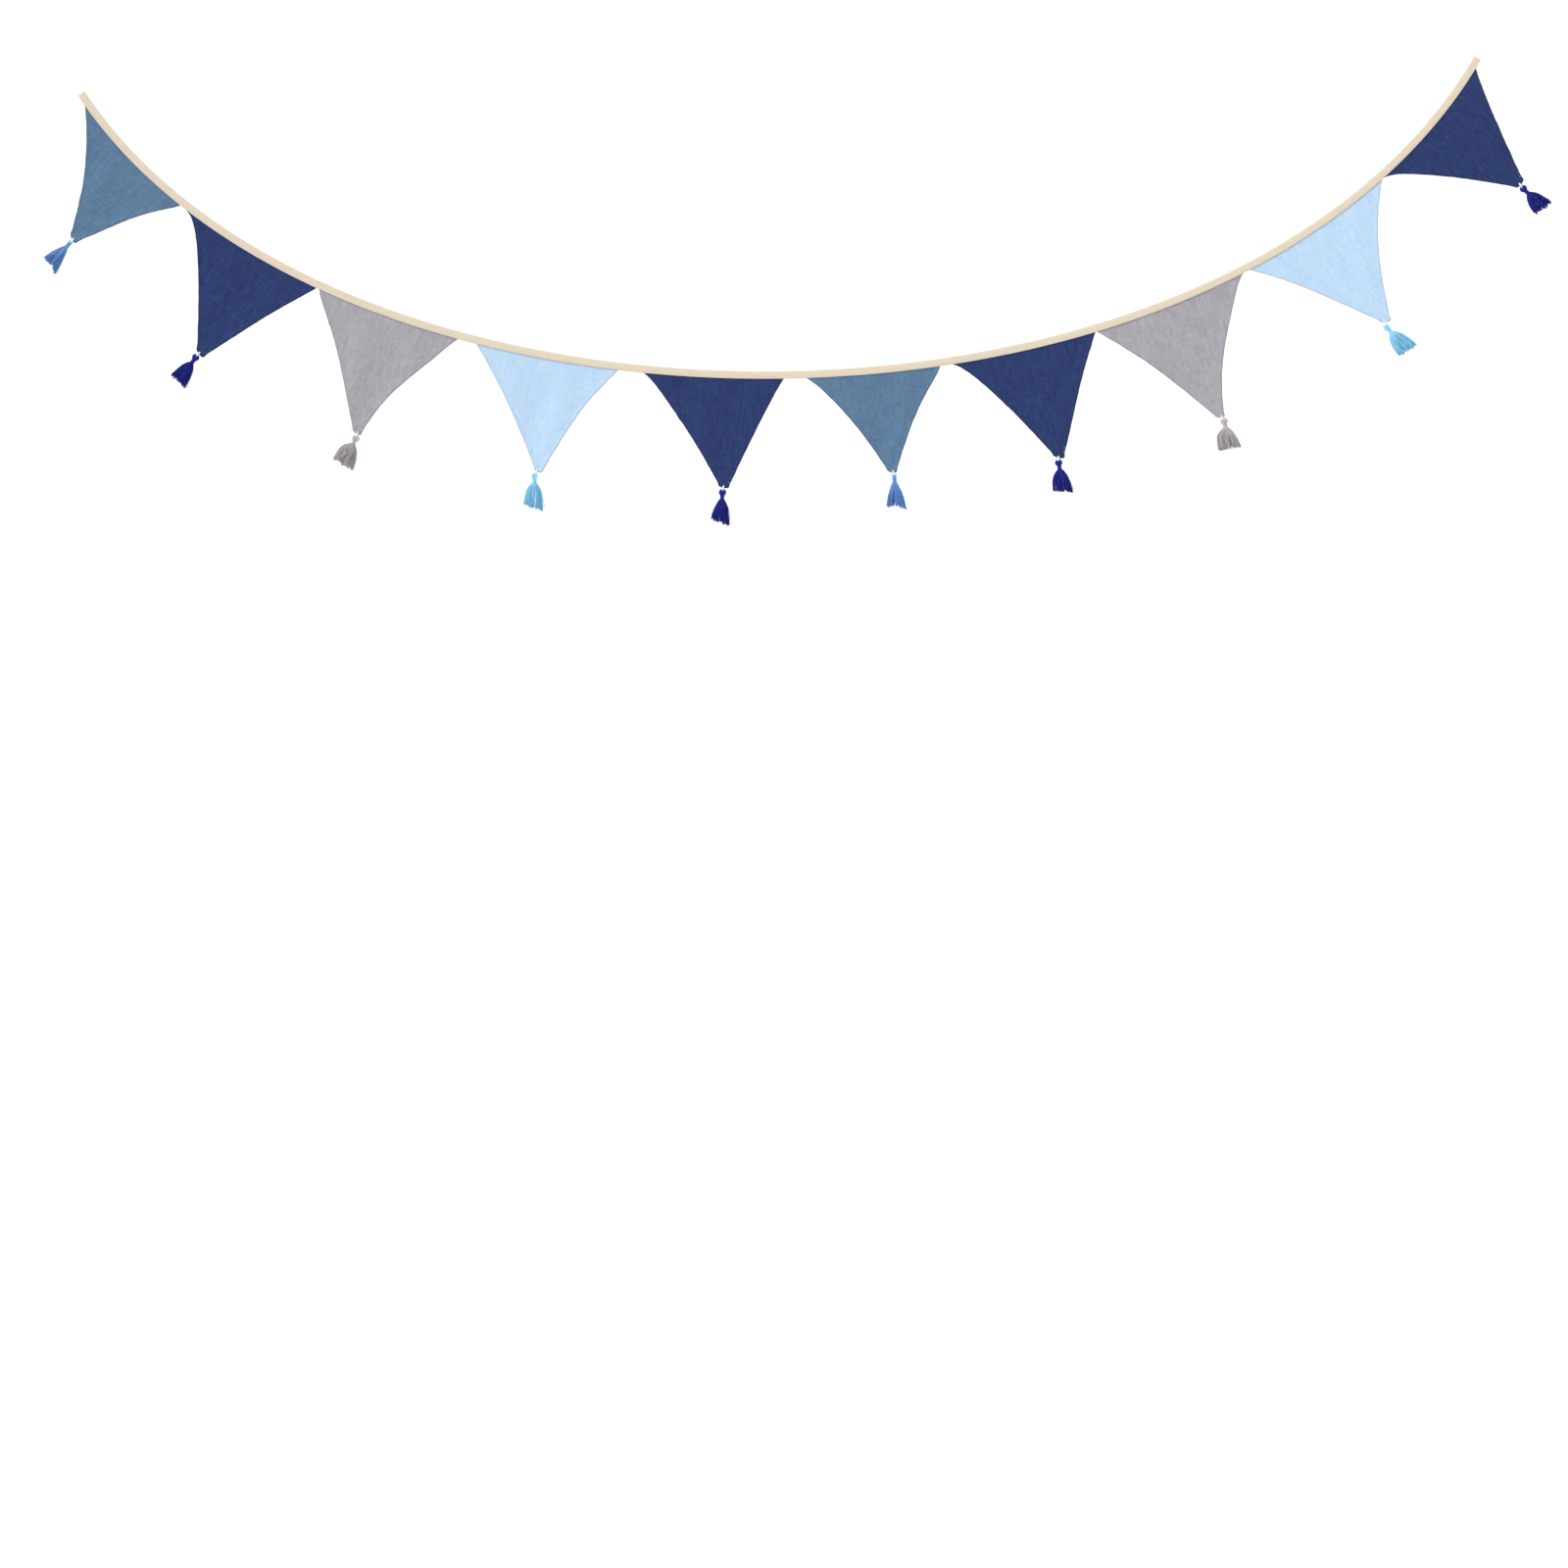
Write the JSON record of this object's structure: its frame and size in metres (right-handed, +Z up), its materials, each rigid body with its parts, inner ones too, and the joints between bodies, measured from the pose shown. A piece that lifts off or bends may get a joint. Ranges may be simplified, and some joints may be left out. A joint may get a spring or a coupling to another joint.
{
  "type": "fabric bunting",
  "caption": "Garland of gauze pennants sewn into a folded tape that hangs in an arc, with a thread tassel tied to the tip of each pennant.",
  "frame": {"origin": "middle of the tape's left end, where the garland is pinned up", "axes": "+X along the garland from its left end to its right end as seen from the front, +Z up; the front faces -Y"},
  "size_m": [1.9403, 0.0223, 0.6016],
  "materials": {
    "tape": "matt ribbed cotton tape, cream",
    "slate_blue": "matt crinkled cotton gauze",
    "navy": "matt crinkled cotton gauze",
    "grey": "matt crinkled cotton gauze",
    "pale_blue": "matt crinkled cotton gauze",
    "blue_thread": "silky embroidery thread",
    "navy_thread": "silky embroidery thread",
    "grey_thread": "silky embroidery thread",
    "azure_thread": "silky embroidery thread",
    "white_thread": "soft white thread"
  },
  "bodies": {
    "root": {"tape": "tape", "pennant_01": "slate_blue", "pennant_02": "navy", "pennant_03": "grey", "pennant_04": "pale_blue", "pennant_05": "navy", "pennant_06": "slate_blue", "pennant_07": "navy", "pennant_08": "grey", "pennant_09": "pale_blue", "pennant_10": "navy", "tassel_01": "blue_thread", "tassel_02": "navy_thread", "tassel_03": "grey_thread", "tassel_04": "azure_thread", "tassel_05": "navy_thread", "tassel_06": "blue_thread", "tassel_07": "navy_thread", "tassel_08": "grey_thread", "tassel_09": "azure_thread", "tassel_10": "navy_thread", "tie_01": "white_thread", "tie_02": "white_thread", "tie_03": "white_thread", "tie_04": "white_thread", "tie_05": "white_thread", "tie_06": "white_thread", "tie_07": "white_thread", "tie_08": "white_thread", "tie_09": "white_thread", "tie_10": "white_thread"}
  },
  "joints": []
}
